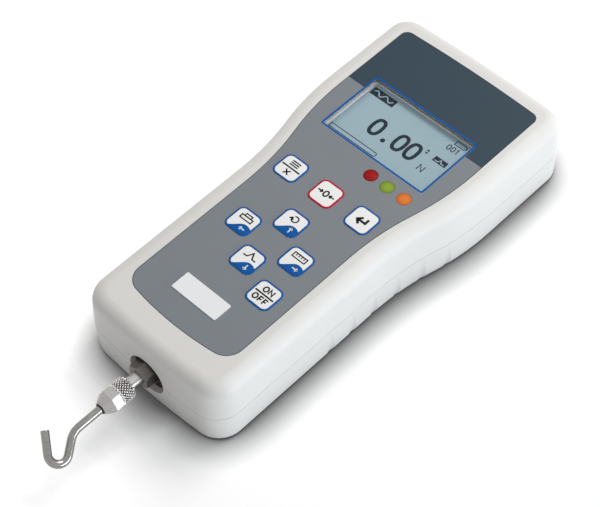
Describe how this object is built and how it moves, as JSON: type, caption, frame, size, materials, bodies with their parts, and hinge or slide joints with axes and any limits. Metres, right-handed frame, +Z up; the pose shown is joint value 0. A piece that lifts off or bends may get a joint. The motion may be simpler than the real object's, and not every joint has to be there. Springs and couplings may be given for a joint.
{
  "type": "force gauge",
  "caption": "Hand-held digital force gauge: waisted two-part housing with display, keypad and signal lamps, and a load shaft with a knurled lock nut and a wire hook.",
  "frame": {"origin": "centre of the flat back, the instrument lying on it", "axes": "+X to the instrument's right, +Y from the hook towards the display end, +Z up out of the keypad"},
  "size_m": [0.08, 0.221, 0.0303],
  "materials": {
    "housing": "warm off-white moulded ABS, fine spark texture",
    "overlay": "mid grey printed polyester with a darker blue-grey header, satin",
    "foil": "translucent circuit foil",
    "plate": "blank white plate",
    "key_cap": "white key face with a coloured edge line",
    "window": "clear pane",
    "display": "pale blue-grey liquid crystal panel",
    "light_box": "white diffuser",
    "lamp_red": "red translucent lens",
    "lamp_green": "yellow-green translucent lens",
    "lamp_amber": "amber translucent lens",
    "board": "green glass-fibre circuit board",
    "black_plastic": "black moulded plastic",
    "cell_sleeve": "shrink-wrapped cell",
    "screw_steel": "zinc-plated steel",
    "spring_steel": "spring steel",
    "socket_steel": "tinned steel",
    "brass": "turned brass",
    "aluminium": "milled aluminium",
    "bright_steel": "ground stainless steel",
    "dark_steel": "dark oxidised steel",
    "nickel": "nickel-plated",
    "wire_steel": "drawn stainless wire"
  },
  "bodies": {
    "housing": {"lower_shell": "housing", "upper_shell": "housing", "shell_screws": "screw_steel", "mounting_inserts": "brass", "keypad_overlay": "overlay", "membrane_circuit": "foil", "key_domes": "spring_steel", "rating_plate": "plate", "display_window": "window", "lcd_panel": "display", "lcd_backlight": "light_box", "lamp_chips": "light_box", "main_board": "board", "board_screws": "screw_steel", "keypad_connector": "black_plastic", "board_chips": "black_plastic", "battery_tray": "black_plastic", "battery_cells": "cell_sleeve", "battery_contacts": "spring_steel", "port_board": "board", "port_screws": "screw_steel", "power_jack": "black_plastic", "usb_socket": "socket_steel", "load_cell": "aluminium", "cell_bracket": "aluminium", "bracket_screws": "screw_steel", "cell_screws": "screw_steel", "lamp_red": "lamp_red", "lamp_green": "lamp_green", "lamp_amber": "lamp_amber"},
    "menu_key": {"key_menu": "key_cap"},
    "zero_key": {"key_zero": "key_cap"},
    "enter_key": {"key_enter": "key_cap"},
    "print_key": {"key_print": "key_cap"},
    "units_key": {"key_units": "key_cap"},
    "reset_key": {"key_reset": "key_cap"},
    "mode_key": {"key_mode": "key_cap"},
    "power_key": {"key_power": "key_cap"},
    "shaft": {"measuring_shaft": "bright_steel", "dust_washer": "black_plastic", "shaft_nut": "dark_steel"},
    "lock_nut": {"lock_nut": "nickel"},
    "hook": {"hook_head": "nickel", "hook_wire": "wire_steel"}
  },
  "joints": [
    {"name": "menu_press", "type": "slide", "parent": "housing", "child": "menu_key", "axis": [0, 0, -1], "range_m": [0, 0.0004], "stiffness_N_per_m": 3000},
    {"name": "zero_press", "type": "slide", "parent": "housing", "child": "zero_key", "axis": [0, 0, -1], "range_m": [0, 0.0004], "stiffness_N_per_m": 3000},
    {"name": "enter_press", "type": "slide", "parent": "housing", "child": "enter_key", "axis": [0, 0, -1], "range_m": [0, 0.0004], "stiffness_N_per_m": 3000},
    {"name": "print_press", "type": "slide", "parent": "housing", "child": "print_key", "axis": [0, 0, -1], "range_m": [0, 0.0004], "stiffness_N_per_m": 3000},
    {"name": "units_press", "type": "slide", "parent": "housing", "child": "units_key", "axis": [0, 0, -1], "range_m": [0, 0.0004], "stiffness_N_per_m": 3000},
    {"name": "reset_press", "type": "slide", "parent": "housing", "child": "reset_key", "axis": [0, 0, -1], "range_m": [0, 0.0004], "stiffness_N_per_m": 3000},
    {"name": "mode_press", "type": "slide", "parent": "housing", "child": "mode_key", "axis": [0, 0, -1], "range_m": [0, 0.0004], "stiffness_N_per_m": 3000},
    {"name": "power_press", "type": "slide", "parent": "housing", "child": "power_key", "axis": [0, 0, -1], "range_m": [0, 0.0004], "stiffness_N_per_m": 3000},
    {"name": "shaft_slide", "type": "slide", "parent": "housing", "child": "shaft", "axis": [0, 1, 0], "range_m": [-0.0002, 0.0002], "stiffness_N_per_m": 20000},
    {"name": "lock_nut_turn", "type": "hinge", "parent": "shaft", "child": "lock_nut", "pos_m": [0, -0.09825, 0.016], "axis": [0, 1, 0], "continuous": true},
    {"name": "hook_swivel", "type": "hinge", "parent": "shaft", "child": "hook", "pos_m": [0, -0.1025, 0.016], "axis": [0, 1, 0], "continuous": true}
  ]
}
